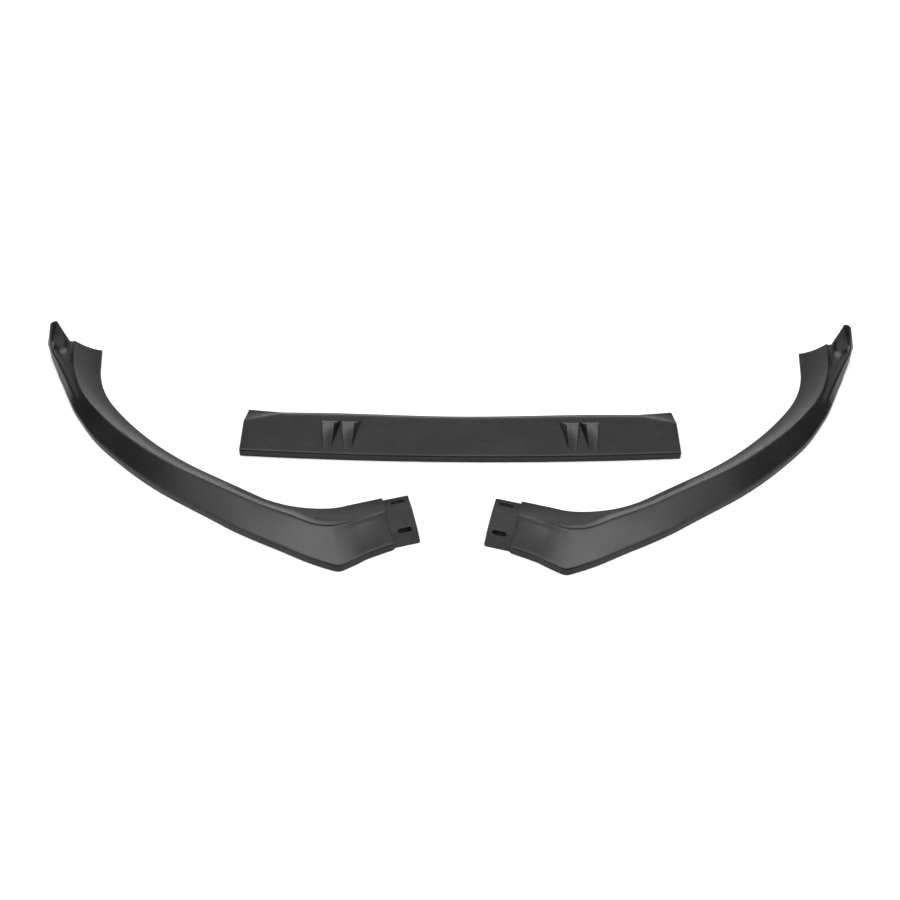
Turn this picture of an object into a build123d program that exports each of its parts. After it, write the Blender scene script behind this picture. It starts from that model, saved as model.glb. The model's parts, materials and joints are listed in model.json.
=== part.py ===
"""Front splitter lip: two side sections and a centre section, laid out flat as a set."""

import os
from dataclasses import dataclass, fields
from math import atan2, cos, sin

from build123d import *

# Moulding, shared by all three sections
wall = 3.0
lip_height = 14.5
lip_tuck = 0.4
nose_bevel = 3.0
crest_step = 2.0
crest_step_run = 1.5
bead_bevel = 0.27
flange_dip = 0.16
face_hollow = 0.01
ledge_width = 5.0
bead_reach = 9.5
bead_width = 3.0

# Rows of short lofts that make up each moulding, and the spans in one loft
loft_spans = 5
joint_lofts = 1
arch_lofts = 5
fin_lofts = 2
tip_lofts = 1
centre_lofts = 2

# Inner edge of a side section in plan, from the joint out to the wheel arch
joint_x = 107.0
joint_turn = 12.5
joint_length = 54.5
front_bend_radius = 194.0
front_bend_turn = 43.5
front_length = 102.0
side_sweep_radius = 613.0
side_sweep_turn = 22.4
wheel_bend_radius = 226.0
wheel_bend_turn = 28.4
wheel_length = 50.0

# Lie of the right section in the set, which the left one mirrors apart from this
right_turn = 1.05
right_shift_x = 2.3
right_shift_y = -6.8

# Joint between a side section and the centre section
joint_flange = 33.0
joint_face = 71.0
joint_crest = 15.3
joint_edge = 10.3
joint_step = 0.8

# Tongue that slides under the centre section, and its two slots
tongue_length = 40.0
tongue_turn = 4.5
tongue_root = 12.0
tongue_drop = 3.3
tongue_bond = 0.9
tongue_rear_inset = 2.0
tongue_front_inset = 3.5
tongue_front_slope = 24.0
tongue_front_edge = 3.6
tongue_corner = 3.0
slot_length = 23.0
slot_width = 8.0
slot_from_seam = 22.0
rear_slot = 13.0
front_slot = 77.0

# Centre section
centre_width = 710.0
centre_depth = 110.2
centre_bow = 12.0
centre_strip = 20.0
centre_crest = 16.5
rib_depth = 112.7
blend_depth = 109.2
end_blend = 34.0
end_turn = 2.0
centre_shift = 14.0
centre_setback = 93.5

# Wedge ribs on the centre section, in two pairs, measured back from the front lip
rib_pair_offset = 198.0
rib_pitch = 33.0
rib_rise = 10.0
rib_front = 16.0
rib_peak = 63.0
rib_foot = 82.0
rib_top_front = 12.0
rib_top_rear = 18.0
rib_base_front = 14.0
rib_base_rear = 32.0
rib_lean = 2.0
rib_sink = 0.3


@dataclass
class Station:
    """Widths in plan and heights of the moulding at one place along a section."""

    flange: float
    face: float
    crest: float
    edge: float = wall
    step: float = crest_step
    turn: float = 0.0
    ledge: float = ledge_width
    ledge_lift: float = 0.0
    hollow: float = face_hollow
    bead: float = bead_reach
    bead_lift: float = 0.0
    bead_width: float = bead_width
    crown: float = face_hollow
    lip: float = lip_height
    nose: float = nose_bevel

    @property
    def width(self):
        return self.flange + self.face


# Stations of a side section, from the joint to the fold and on to the fin at the wheel arch
joint = Station(joint_flange, joint_face, joint_crest, joint_edge, joint_step)
scoop = Station(flange=44.5, face=72, crest=18, edge=6.3, step=1.6)
before_fold = Station(flange=52, face=74.5, crest=20.5, edge=4, turn=2)
fold = Station(flange=56, face=78.5, crest=22, turn=4)
after_fold = Station(flange=53.5, face=64.5, crest=23, turn=1)
bend_middle = Station(flange=39.5, face=56, crest=25)
bend_rear = Station(flange=34.5, face=50, crest=26.5)
front_start = Station(flange=34, face=46, crest=28)
sweep_start = Station(flange=35, face=40.5, crest=29)
sweep_middle = Station(flange=35.5, face=33.7, crest=30)
sweep_rear = Station(flange=37.3, face=30.2, crest=30)
sweep_end = Station(flange=38, face=24.4, crest=29.3)
fin_start = Station(flange=38.4, face=23, crest=29)
waist = Station(
    flange=38.8, face=21.8, crest=28.7,
    hollow=0.8, bead=13.2, bead_lift=4.5, crown=0.4, nose=2.2,
)
fin_root = Station(
    flange=39.8, face=23.8, crest=28.5,
    ledge=6, hollow=1.8, bead=16.4, bead_lift=7.7, crown=0.5, nose=1.4,
)
fin_low = Station(
    flange=41.6, face=29.5, crest=28,
    ledge=7, ledge_lift=0.8, hollow=3,
    bead=22.8, bead_lift=9.9, bead_width=3.2, crown=0.5, lip=15, nose=0.8,
)
fin_middle = Station(
    flange=43, face=37, crest=28.2,
    ledge=7.5, ledge_lift=1.4, hollow=3.5,
    bead=33.5, bead_lift=14, bead_width=4, crown=0.8, lip=18, nose=0.5,
)
fin_swoop = Station(
    flange=43.2, face=40.8, crest=28.5,
    ledge=7.5, ledge_lift=1.8, hollow=3.2,
    bead=35.3, bead_lift=19.7, bead_width=6, crown=1.4, lip=22, nose=0.5,
)
fin_high = Station(
    flange=43.3, face=43.6, crest=29,
    ledge=7.5, ledge_lift=2.2, hollow=2.2,
    bead=32.5, bead_lift=36, bead_width=9, crown=2.6, lip=25.5, nose=0.5,
)
fin_end = Station(
    flange=43.3, face=46, crest=29.5,
    ledge=7.5, ledge_lift=2.6, hollow=1.2,
    bead=28.7, bead_lift=50.2, bead_width=11.5, crown=4, lip=28, nose=0.5,
)


def slope(runs, values, index):
    """Slope of a smooth curve through values at one of its keys."""
    before, after = max(index - 1, 0), min(index + 1, len(runs) - 1)
    return (values[after] - values[before]) / (runs[after] - runs[before])


def station_at(keys, run):
    """Station between key stations, where each value follows a smooth curve through its keys."""
    runs = [key_run for key_run, station in keys]
    index = max(i for i in range(len(runs) - 1) if i == 0 or runs[i] <= run)
    gap = runs[index + 1] - runs[index]
    t = (run - runs[index]) / gap
    mixed = {}
    for field in fields(Station):
        values = [getattr(station, field.name) for key_run, station in keys]
        start, end = values[index], values[index + 1]
        start_pull = gap * slope(runs, values, index) - (end - start)
        end_pull = (end - start) - gap * slope(runs, values, index + 1)
        pull = (1 - t) * start_pull + t * end_pull
        mixed[field.name] = start + t * (end - start) + t * (1 - t) * pull
    return Station(**mixed)


def section_plane(path, run, turn=0):
    """Upright plane across a path, with x pointing out of the bumper and y up."""
    along = path.tangent_at(run, PositionMode.LENGTH).rotate(Axis.Z, -turn)
    origin = path.position_at(run, PositionMode.LENGTH)
    return Plane(origin, x_dir=along.cross(Vector(0, 0, 1)), z_dir=-along)


def height_between(start, end, x):
    """Height at a distance x on the line through two points."""
    return start[1] + (end[1] - start[1]) * (x - start[0]) / (end[0] - start[0])


def inside_corner(before, at, after):
    """Corner of the wall's inner skin under a corner of its outer skin."""
    first = atan2(at[1] - before[1], at[0] - before[0])
    second = atan2(after[1] - at[1], after[0] - at[0])
    middle, reach = (first + second) / 2, wall / cos((second - first) / 2)
    return (at[0] + reach * sin(middle), at[1] - reach * cos(middle))


def draw_sag(start, end, sag):
    """Arc between two points that hangs below the straight line by its sag."""
    ThreePointArc(start, ((start[0] + end[0]) / 2, (start[1] + end[1]) / 2 - sag), end)


def face_line(station):
    """Start and end of the plain outer face, from the foot of the crest to the nose of the lip."""
    foot = (station.flange + crest_step_run, station.crest - station.step)
    return foot, (station.width - nose_bevel, lip_height)


def on_face(station, reach, lift=0):
    """Point above the plain outer face, at a distance out from the crest."""
    x = station.flange + reach
    return (x, height_between(*face_line(station), x) + lift)


def section(plane, station):
    """Closed thin-wall section: dished flange, crest, ledge, fin face, bead, outer face, nose and lip."""
    width, hollow = station.width, station.hollow
    dip = flange_dip * (station.crest - station.edge)
    lip = width - lip_tuck
    crest = (station.flange, station.crest)
    foot = face_line(station)[0]
    ledge = on_face(station, station.ledge, station.ledge_lift)

    # The bead lies in the plain face, and rises from it to become the rim of the fin
    near, far = station.bead - station.bead_width / 2, station.bead + station.bead_width / 2
    bead_start = on_face(station, near, station.bead_lift)
    bead_end = on_face(station, far, station.bead_lift)
    bevel, top = bead_bevel * station.bead_width, station.bead_lift + station.crown
    bead_top = [on_face(station, near + bevel, top), on_face(station, far - bevel, top)]
    nose_end = (width, station.lip - nose_bevel)
    nose_start = (width - station.nose, station.lip)

    under_crest = (station.flange, station.crest - station.step - wall)
    under_ledge = inside_corner(foot, ledge, bead_start)
    under_bead = inside_corner(ledge, on_face(station, station.bead, station.bead_lift), nose_start)
    under_face = ((under_bead[0] + under_ledge[0]) / 2, (under_bead[1] + under_ledge[1]) / 2 - hollow)
    under_nose = inside_corner(bead_end, nose_start, nose_end)

    with BuildSketch(plane) as sketch:
        with BuildLine():
            draw_sag((0, station.edge), crest, dip)
            Polyline(crest, foot, ledge)
            draw_sag(ledge, bead_start, hollow)
            Polyline(bead_start, *bead_top, bead_end, nose_start, nose_end, (lip, 0), (lip - wall, 0))
            Polyline((lip - wall, 0), under_nose, under_bead, under_face, under_ledge, under_crest)
            draw_sag(under_crest, (0, station.edge - wall), dip)
            Line((0, station.edge - wall), (0, station.edge))
        make_face()
    return sketch.sketch


def side_outline(keys, run):
    """Section of a side moulding at a distance along its inner edge."""
    station = station_at(keys, run)
    return section(section_plane(inner_edge, run, station.turn), station)


def runs_between(first, last, lofts):
    """Evenly spaced distances for a row of lofts, as one group of distances for each loft."""
    step = (last - first) / (lofts * loft_spans)
    starts = [first + group * loft_spans * step for group in range(lofts)]
    return [[start + span * step for span in range(loft_spans + 1)] for start in starts]


def tongue_outline(bond):
    """Section of the tongue: the joint section one wall lower, thickened upwards by its bond."""
    dip = flange_dip * (joint_crest - joint_edge)
    front = joint.width - tongue_front_inset
    rear = (tongue_rear_inset, joint_edge - tongue_drop)
    ridge = (joint_flange, joint_crest - joint_step - tongue_drop)
    bend = (front - tongue_front_slope, lip_height - tongue_drop)
    tip = (front, tongue_front_edge)
    top = [(x, z + bond) for x, z in (rear, ridge, bend)]
    under = [(x, z - wall) for x, z in (tip, bend, ridge, rear)]
    with BuildSketch(seam) as sketch:
        with BuildLine():
            draw_sag(top[0], top[1], dip)
            Polyline(top[1], top[2], tip, *under[:3])
            draw_sag(under[2], under[3], dip)
            Line(under[3], top[0])
        make_face()
    return sketch.sketch


# Plan line of a side section's inner edge, as one run of tangent lines and arcs
with BuildLine() as side_path:
    joint_line = PolarLine((joint_x, 0), joint_length, -joint_turn)
    front_bend = JernArc(joint_line @ 1, joint_line % 1, front_bend_radius, front_bend_turn)
    front_line = Line(front_bend @ 1, front_bend @ 1 + front_length * (front_bend % 1))
    side_sweep = JernArc(front_line @ 1, front_line % 1, side_sweep_radius, side_sweep_turn)
    wheel_bend = JernArc(side_sweep @ 1, side_sweep % 1, wheel_bend_radius, wheel_bend_turn)
    wheel_line = Line(wheel_bend @ 1, wheel_bend @ 1 + wheel_length * (wheel_bend % 1))
inner_edge = side_path.wire()
bend_from = joint_line.length
front_from = bend_from + front_bend.length
sweep_from = front_from + front_line.length
wheel_from = sweep_from + side_sweep.length
arch_from = wheel_from + wheel_bend.length

fold_run = bend_from + 0.17 * front_bend.length
fin_run = wheel_from + 0.24 * wheel_bend.length
swoop_run = arch_from + 0.36 * wheel_line.length
joint_keys = [
    (0, joint),
    (0.86 * joint_line.length, scoop),
    (bend_from + 0.08 * front_bend.length, before_fold),
    (fold_run, fold),
]
arch_keys = [
    (fold_run, fold),
    (bend_from + 0.29 * front_bend.length, after_fold),
    (bend_from + 0.52 * front_bend.length, bend_middle),
    (bend_from + 0.75 * front_bend.length, bend_rear),
    (front_from, front_start),
    (sweep_from, sweep_start),
    (sweep_from + 0.5 * side_sweep.length, sweep_middle),
    (sweep_from + 0.75 * side_sweep.length, sweep_rear),
    (wheel_from, sweep_end),
    (fin_run, fin_start),
    (wheel_from + 0.45 * wheel_bend.length, waist),
    (wheel_from + 0.68 * wheel_bend.length, fin_root),
    (wheel_from + 0.91 * wheel_bend.length, fin_low),
    (swoop_run, fin_middle),
    (arch_from + 0.62 * wheel_line.length, fin_swoop),
    (arch_from + 0.82 * wheel_line.length, fin_high),
    (arch_from + wheel_line.length, fin_end),
]

seam = section_plane(inner_edge, 0)
tongue_way = seam.z_dir.rotate(Axis.Z, -tongue_turn)
with BuildPart() as side_moulding:
    for runs in runs_between(0, fold_run, joint_lofts):
        loft([side_outline(joint_keys, run) for run in runs])
    arch_rows = runs_between(fold_run, fin_run, arch_lofts) + runs_between(fin_run, swoop_run, fin_lofts)
    for runs in arch_rows + runs_between(swoop_run, inner_edge.length, tip_lofts):
        loft([side_outline(arch_keys, run) for run in runs])
    # The tongue lies flush under the centre section and is bonded inside the end of the moulding
    extrude(tongue_outline(0), amount=tongue_length, dir=tongue_way)
    extrude(tongue_outline(tongue_bond), amount=-tongue_root)
    upright_edges = side_moulding.edges().filter_by(Axis.Z)
    fillet(upright_edges.sort_by(Axis(seam.origin, seam.z_dir))[-2:], tongue_corner)
    for reach in (rear_slot, front_slot):
        with BuildSketch(Plane(seam.origin + reach * seam.x_dir, x_dir=tongue_way, z_dir=(0, 0, 1))):
            with Locations((slot_from_seam, 0)):
                SlotOverall(slot_length, slot_width)
        extrude(amount=joint_crest + lip_height, mode=Mode.SUBTRACT)

# Front edge of the centre section, bowed forward in the middle
half_width = centre_width / 2
with BuildLine() as centre_path:
    front_edge = ThreePointArc(
        (centre_shift - half_width, centre_setback + centre_bow),
        (centre_shift, centre_setback),
        (centre_shift + half_width, centre_setback + centre_bow),
    )


def blade(depth):
    """Station of the centre section away from its ends, with its narrow rear strip."""
    return Station(centre_strip, depth - centre_strip, centre_crest, step=joint_step)


middle_run = front_edge.length / 2
blend_run = middle_run - end_blend
middle_keys = [
    (-blend_run, blade(blend_depth)),
    (-rib_pair_offset, blade(rib_depth)),
    (0, blade(centre_depth)),
    (rib_pair_offset, blade(rib_depth)),
    (blend_run, blade(blend_depth)),
]


def centre_plane(offset, station, turn=0):
    """Section plane of the centre section, with its origin on the rear edge."""
    plane = section_plane(front_edge, middle_run + offset, turn)
    plane.origin -= station.width * plane.x_dir
    return plane


def centre_outline(offset):
    """Section of the centre blade at a distance from its middle."""
    station = station_at(middle_keys, offset)
    return section(centre_plane(offset, station), station)


def rib_outline(offset, back, base, top, rise, depth, lean):
    """Trapezoid across a rib, at a distance back from the front lip."""
    station = station_at(middle_keys, offset)
    frame = centre_plane(offset, station)
    reach = station.width - back
    surface = height_between(*face_line(station), reach)
    plane = Plane(frame.origin + reach * frame.x_dir, x_dir=-frame.z_dir, z_dir=frame.x_dir)
    low, high = surface - depth, surface + rise
    with BuildSketch(plane) as sketch:
        with BuildLine():
            Polyline(
                (-base / 2, low),
                (base / 2, low),
                (lean + top / 2, high),
                (lean - top / 2, high),
                close=True,
            )
        make_face()
    return sketch.sketch


def rib_outlines(offset, lower, narrower, depth):
    """Front, peak and foot of one rib, whole or lowered and narrowed for the hollow under it."""
    lean = rib_lean if offset > 0 else -rib_lean
    base_front, top_front = rib_base_front - narrower, rib_top_front - narrower
    base, top = rib_base_rear - narrower, rib_top_rear - narrower
    return [
        rib_outline(offset, rib_front, base_front, top_front, -lower, depth, 0),
        rib_outline(offset, rib_peak, base, top, rib_rise - lower, depth, lean),
        rib_outline(offset, rib_foot, base, top, -lower, depth, lean),
    ]


with BuildPart() as centre_moulding:
    for end in (-1, 1):
        joint_outline = section(centre_plane(end * middle_run, joint, end * end_turn), joint)
        loft([joint_outline, centre_outline(end * blend_run)], ruled=True)
    for runs in runs_between(-blend_run, blend_run, centre_lofts):
        loft([centre_outline(run) for run in runs])
    ribs = [pair * rib_pair_offset + side * rib_pitch / 2 for pair in (-1, 1) for side in (-1, 1)]
    for offset in ribs:
        loft(rib_outlines(offset, rib_sink, 0, wall / 2), ruled=True)
    for offset in ribs:
        loft(rib_outlines(offset, wall, 2 * wall, 2 * wall), ruled=True, mode=Mode.SUBTRACT)

# The three sections lie as a set, centred on the outline of the whole
right_lie = Location((right_shift_x, right_shift_y, 0), (0, 0, right_turn))
left_box = mirror(side_moulding.part, about=Plane.YZ, mode=Mode.PRIVATE).bounding_box()
set_box = left_box.add(side_moulding.part.moved(right_lie).bounding_box())
to_middle = Location((-set_box.center().X, -set_box.center().Y, 0))

with BuildPart() as left_side_section:
    with Locations(to_middle):
        add(mirror(side_moulding.part, about=Plane.YZ, mode=Mode.PRIVATE))
left_side_section.part.label = "left_side_section"

with BuildPart() as right_side_section:
    with Locations(to_middle * right_lie):
        add(side_moulding.part)
right_side_section.part.label = "right_side_section"

with BuildPart() as centre_section:
    with Locations(to_middle):
        add(centre_moulding.part)
centre_section.part.label = "centre_section"

os.makedirs("parts", exist_ok=True)
export_step(left_side_section.part, "parts/left_side_section.step")
export_step(right_side_section.part, "parts/right_side_section.step")
export_step(centre_section.part, "parts/centre_section.step")
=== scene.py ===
"""Looks of a front splitter lip: two curved side sections and a ribbed centre blade on a pale floor."""

import json
import logging
import math
from dataclasses import dataclass, field, fields
from enum import Enum
from typing import Any, Sequence

import bmesh
import bpy
import numpy as np
from mathutils import Matrix, Vector

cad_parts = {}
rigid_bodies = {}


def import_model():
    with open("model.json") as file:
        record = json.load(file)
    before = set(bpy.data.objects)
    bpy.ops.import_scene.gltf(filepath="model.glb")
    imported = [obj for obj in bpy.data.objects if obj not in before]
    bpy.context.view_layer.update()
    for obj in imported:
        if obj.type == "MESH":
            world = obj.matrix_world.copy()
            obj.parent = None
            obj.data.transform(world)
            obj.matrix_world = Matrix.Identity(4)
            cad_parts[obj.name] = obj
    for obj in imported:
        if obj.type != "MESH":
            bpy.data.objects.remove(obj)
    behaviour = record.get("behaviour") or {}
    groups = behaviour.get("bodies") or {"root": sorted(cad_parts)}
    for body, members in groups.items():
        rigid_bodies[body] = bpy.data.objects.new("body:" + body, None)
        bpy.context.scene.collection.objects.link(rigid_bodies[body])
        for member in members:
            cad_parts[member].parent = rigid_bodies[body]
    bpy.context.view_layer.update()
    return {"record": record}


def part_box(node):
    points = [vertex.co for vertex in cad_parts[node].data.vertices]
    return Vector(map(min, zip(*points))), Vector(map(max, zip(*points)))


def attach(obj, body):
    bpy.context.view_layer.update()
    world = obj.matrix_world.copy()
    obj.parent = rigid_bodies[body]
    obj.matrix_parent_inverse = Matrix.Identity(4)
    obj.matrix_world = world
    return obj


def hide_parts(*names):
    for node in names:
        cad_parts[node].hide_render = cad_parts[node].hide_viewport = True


LOG = logging.getLogger("splitter_lip")
MM = 0.001
MERGE_GAP = 1e-6
TINY = 1e-4
BODY = "root"
IMAGE_PIXELS = 900.0
NOISE_MEAN = 0.5
WHITE = (1.0, 1.0, 1.0, 1.0)
LIP_HEIGHT = 13.7
NOSE_DEPTH = 2.0

Pair = tuple[float, float]
Triple = tuple[float, float, float]
Quad = tuple[float, float, float, float]
Point = Pair
Mark = tuple[Point, float]


class Hand(Enum):
    """Which side of the car a section belongs to."""

    LEFT = "left"
    RIGHT = "right"


class Num:
    """A socket that carries a number, so that shader maths reads as an expression."""

    def __init__(self, sheet: "NodeSheet", socket: bpy.types.NodeSocket) -> None:
        """Wraps a socket.

        Args:
            sheet: The node sheet that the socket belongs to.
            socket: The output socket to wrap.
        """
        self.sheet = sheet
        self.socket = socket

    def _math(self, operation: str, *values: Any) -> "Num":
        """Adds one Math node.

        Args:
            operation: The Math node's operation.
            values: Its inputs, as numbers or wrapped sockets.

        Returns:
            The wrapped result.
        """
        node = self.sheet.node("ShaderNodeMath", {"operation": operation}, dict(enumerate(values)))
        return Num(self.sheet, node.outputs[0])

    def __add__(self, other: Any) -> "Num":
        """Sum."""
        return self._math("ADD", self, other)

    def __sub__(self, other: Any) -> "Num":
        """Difference."""
        return self._math("SUBTRACT", self, other)

    def __rsub__(self, other: Any) -> "Num":
        """Difference from a number."""
        return self._math("SUBTRACT", other, self)

    def __mul__(self, other: Any) -> "Num":
        """Product."""
        return self._math("MULTIPLY", self, other)

    __radd__ = __add__
    __rmul__ = __mul__

    def __pow__(self, other: Any) -> "Num":
        """Power."""
        return self._math("POWER", self, other)

    def __rpow__(self, other: Any) -> "Num":
        """Power of a number."""
        return self._math("POWER", other, self)

    def __truediv__(self, other: Any) -> "Num":
        """Quotient."""
        return self._math("DIVIDE", self, other)

    def __rtruediv__(self, other: Any) -> "Num":
        """Quotient of a number."""
        return self._math("DIVIDE", other, self)

    def size(self) -> "Num":
        """Value without its sign."""
        return self._math("ABSOLUTE", self)

    def at_least(self, other: Any) -> "Num":
        """The larger of two values."""
        return self._math("MAXIMUM", self, other)

    def floor(self) -> "Num":
        """Whole number at or below the value."""
        return self._math("FLOOR", self)

    def sine(self) -> "Num":
        """Sine of the value in radians."""
        return self._math("SINE", self)

    def cosine(self) -> "Num":
        """Cosine of the value in radians."""
        return self._math("COSINE", self)

    def ramp(self, low: float, high: float, start: float = 0.0, end: float = 1.0) -> "Num":
        """Smooth step of the value from one number to another.

        Args:
            low: Value where the step begins.
            high: Value where the step ends.
            start: Result before the step.
            end: Result after it.

        Returns:
            The wrapped result.
        """
        settings = {"interpolation_type": "SMOOTHSTEP"}
        node = self.sheet.node("ShaderNodeMapRange", settings, {0: self, 1: low, 2: high, 3: start, 4: end})
        return Num(self.sheet, node.outputs[0])

    def fall(self, low: float, high: float) -> "Num":
        """Smooth step of the value from 1 down to 0."""
        return self.ramp(low, high, 1.0, 0.0)


class NodeSheet:
    """A node tree that is filled through one method."""

    def __init__(self, tree: bpy.types.NodeTree) -> None:
        """Empties a tree.

        Args:
            tree: The tree to fill.
        """
        self.tree = tree
        tree.nodes.clear()

    def node(
        self, kind: str, settings: dict[str, Any] | None = None, inputs: dict[Any, Any] | None = None
    ) -> Any:
        """Adds a node.

        Args:
            kind: The node's type.
            settings: Properties that are set first.
            inputs: Values or links of its sockets, by index or name.

        Returns:
            The new node.
        """
        made = self.tree.nodes.new(kind)
        for name, value in (settings or {}).items():
            setattr(made, name, value)
        for key, value in (inputs or {}).items():
            if isinstance(value, Num):
                value = value.socket
            if isinstance(value, bpy.types.NodeSocket):
                self.tree.links.new(value, made.inputs[key])
            else:
                made.inputs[key].default_value = value
        return made

    def num(
        self,
        kind: str,
        output: Any,
        settings: dict[str, Any] | None = None,
        inputs: dict[Any, Any] | None = None,
    ) -> Num:
        """Adds a node and wraps one of its outputs.

        Args:
            kind: The node's type.
            output: Index or name of the output.
            settings: Properties that are set first.
            inputs: Values or links of its sockets.

        Returns:
            The wrapped output.
        """
        return Num(self, self.node(kind, settings, inputs).outputs[output])


@dataclass(frozen=True)
class SatinPlastic:
    """Black moulded plastic with a fine grain, a soft sheen and faint handling marks.

    A noise is given by its waves per metre and its octaves.
    """

    name: str = "satin_black_plastic"
    dark: Quad = (0.0090, 0.0090, 0.0093, 1.0)
    light: Quad = (0.0130, 0.0130, 0.0133, 1.0)
    tone_zone: Pair = (0.3, 0.7)
    refraction: float = 1.5
    roughness: float = 0.26
    roughness_spread: float = 0.04
    grain_roughness: float = 0.06
    grain_noise: Pair = (1500.0, 2.0)
    pore_noise: Pair = (525.0, 3.0)
    grain_share: float = 0.65
    grain_depth: float = 0.00003
    grain_strength: float = 0.55
    mottle_noise: Pair = (16.0, 4.0)
    cloud_noise: Pair = (96.0, 3.0)
    mottle_share: float = 0.6
    mottle_zone: Pair = (0.35, 0.7)
    wipe_noise: Pair = (900.0, 2.0)
    wipe_stretch: Triple = (0.06, 0.06, 1.0)
    wipe_zone: Pair = (0.45, 0.75)
    mark_weights: Triple = (0.6, 0.25, 0.15)
    mark_mean: float = 0.4

    def material(self) -> bpy.types.Material:
        """Builds the finish.

        Returns:
            The new material.
        """
        made = bpy.data.materials.new(self.name)
        made.use_nodes = True
        sheet = NodeSheet(made.node_tree)
        place = sheet.node("ShaderNodeTexCoord").outputs["Object"]
        mottle = self._noise(sheet, place, *self.mottle_noise)
        cloud = self._noise(sheet, place, *self.cloud_noise)
        grain = self._noise(sheet, place, *self.grain_noise)
        pores = self._noise(sheet, place, *self.pore_noise)
        stretch = {"Vector": place, "Scale": self.wipe_stretch}
        along = sheet.node("ShaderNodeMapping", {}, stretch).outputs[0]
        wipe = self._noise(sheet, along, *self.wipe_noise)
        tone = (mottle * self.mottle_share + cloud * (1 - self.mottle_share)).ramp(*self.tone_zone)
        mix = {0: tone, 6: self.dark, 7: self.light}
        colour = sheet.node("ShaderNodeMix", {"data_type": "RGBA"}, mix).outputs[2]
        blotch, streak, haze = self.mark_weights
        marks = mottle.ramp(*self.mottle_zone) * blotch + wipe.ramp(*self.wipe_zone) * streak + cloud * haze
        rough = self.roughness + (marks - self.mark_mean) * self.roughness_spread
        rough = rough + (grain - NOISE_MEAN) * self.grain_roughness
        height = grain * self.grain_share + pores * (1 - self.grain_share)
        relief = {"Strength": self.grain_strength, "Distance": self.grain_depth, "Height": height}
        bump = sheet.node("ShaderNodeBump", {}, relief).outputs[0]
        surface = {"Base Color": colour, "Roughness": rough, "Normal": bump, "IOR": self.refraction}
        shader = sheet.node("ShaderNodeBsdfPrincipled", {}, surface).outputs[0]
        sheet.node("ShaderNodeOutputMaterial", {}, {"Surface": shader})
        return made

    @staticmethod
    def _noise(sheet: NodeSheet, place: bpy.types.NodeSocket, scale: float, detail: float) -> Num:
        """Adds one noise texture.

        Args:
            sheet: The sheet to add it to.
            place: Coordinates.
            scale: Waves per metre.
            detail: Octaves.

        Returns:
            The noise value.
        """
        return sheet.num("ShaderNodeTexNoise", 0, {}, {"Vector": place, "Scale": scale, "Detail": detail})


@dataclass(frozen=True)
class Station:
    """Widths in plan and heights of the moulding at one place along a section, in millimetres."""

    flange: float
    face: float
    crest: float
    edge: float = 3.0
    step: float = 2.0
    turn: float = 0.0
    ledge: float = 5.0
    ledge_lift: float = 0.0
    hollow: float = 0.0
    bead: float = 9.5
    bead_lift: float = 0.0
    bead_width: float = 3.0
    crown: float = 0.0
    lip: float = LIP_HEIGHT
    nose: float = NOSE_DEPTH
    dish: float = 0.0

    @property
    def width(self) -> float:
        """Width in plan from the inner edge to the lip."""
        return self.flange + self.face


Keys = Sequence[tuple[float, Station]]

# The side sections and the ends of the centre section share the section at the joint.
JOINT = Station(33, 71, 15.3, edge=10.3, step=0.8)


def station_at(keys: Keys, run: float) -> Station:
    """Finds the station between key stations, each value on a smooth curve through its keys.

    Args:
        keys: Distances along the section, with their stations.
        run: Distance to look at.

    Returns:
        The station at that distance.
    """
    runs = [key[0] for key in keys]
    last = len(runs) - 1
    index = max(i for i in range(last) if i == 0 or runs[i] <= run)
    gap = runs[index + 1] - runs[index]
    share = min(max((run - runs[index]) / gap, 0.0), 1.0)
    mixed = {}
    for entry in fields(Station):
        values = [getattr(key[1], entry.name) for key in keys]
        slopes = []
        for i in (index, index + 1):
            before, after = max(i - 1, 0), min(i + 1, last)
            slopes.append((values[after] - values[before]) / (runs[after] - runs[before]))
        rise = values[index + 1] - values[index]
        pull = (1 - share) * (gap * slopes[0] - rise) + share * (rise - gap * slopes[1])
        mixed[entry.name] = values[index] + share * rise + share * (1 - share) * pull
    return Station(**mixed)


def sagging(start: Point, end: Point, sag: float, count: int, lean: float = 1.0) -> list[Point]:
    """Points between two ends on a shallow curve that hangs below the straight line.

    Args:
        start: First end.
        end: Last end.
        sag: Depth of the curve at its lowest place.
        count: Number of points between the ends.
        lean: How far the lowest place lies towards the end, 1 for the middle.

    Returns:
        The points, without the ends.
    """
    lowest = lean / (lean + 1)
    deep = sag / (lowest**lean * (1 - lowest))
    shares = [(i + 1) / (count + 1) for i in range(count)]
    return [
        (start[0] + t * (end[0] - start[0]), start[1] + t * (end[1] - start[1]) - deep * t**lean * (1 - t))
        for t in shares
    ]


def unrounded(points: Sequence[Point]) -> list[Mark]:
    """Marks points of an outline that keep their place."""
    return [(point, 0.0) for point in points]


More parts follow.
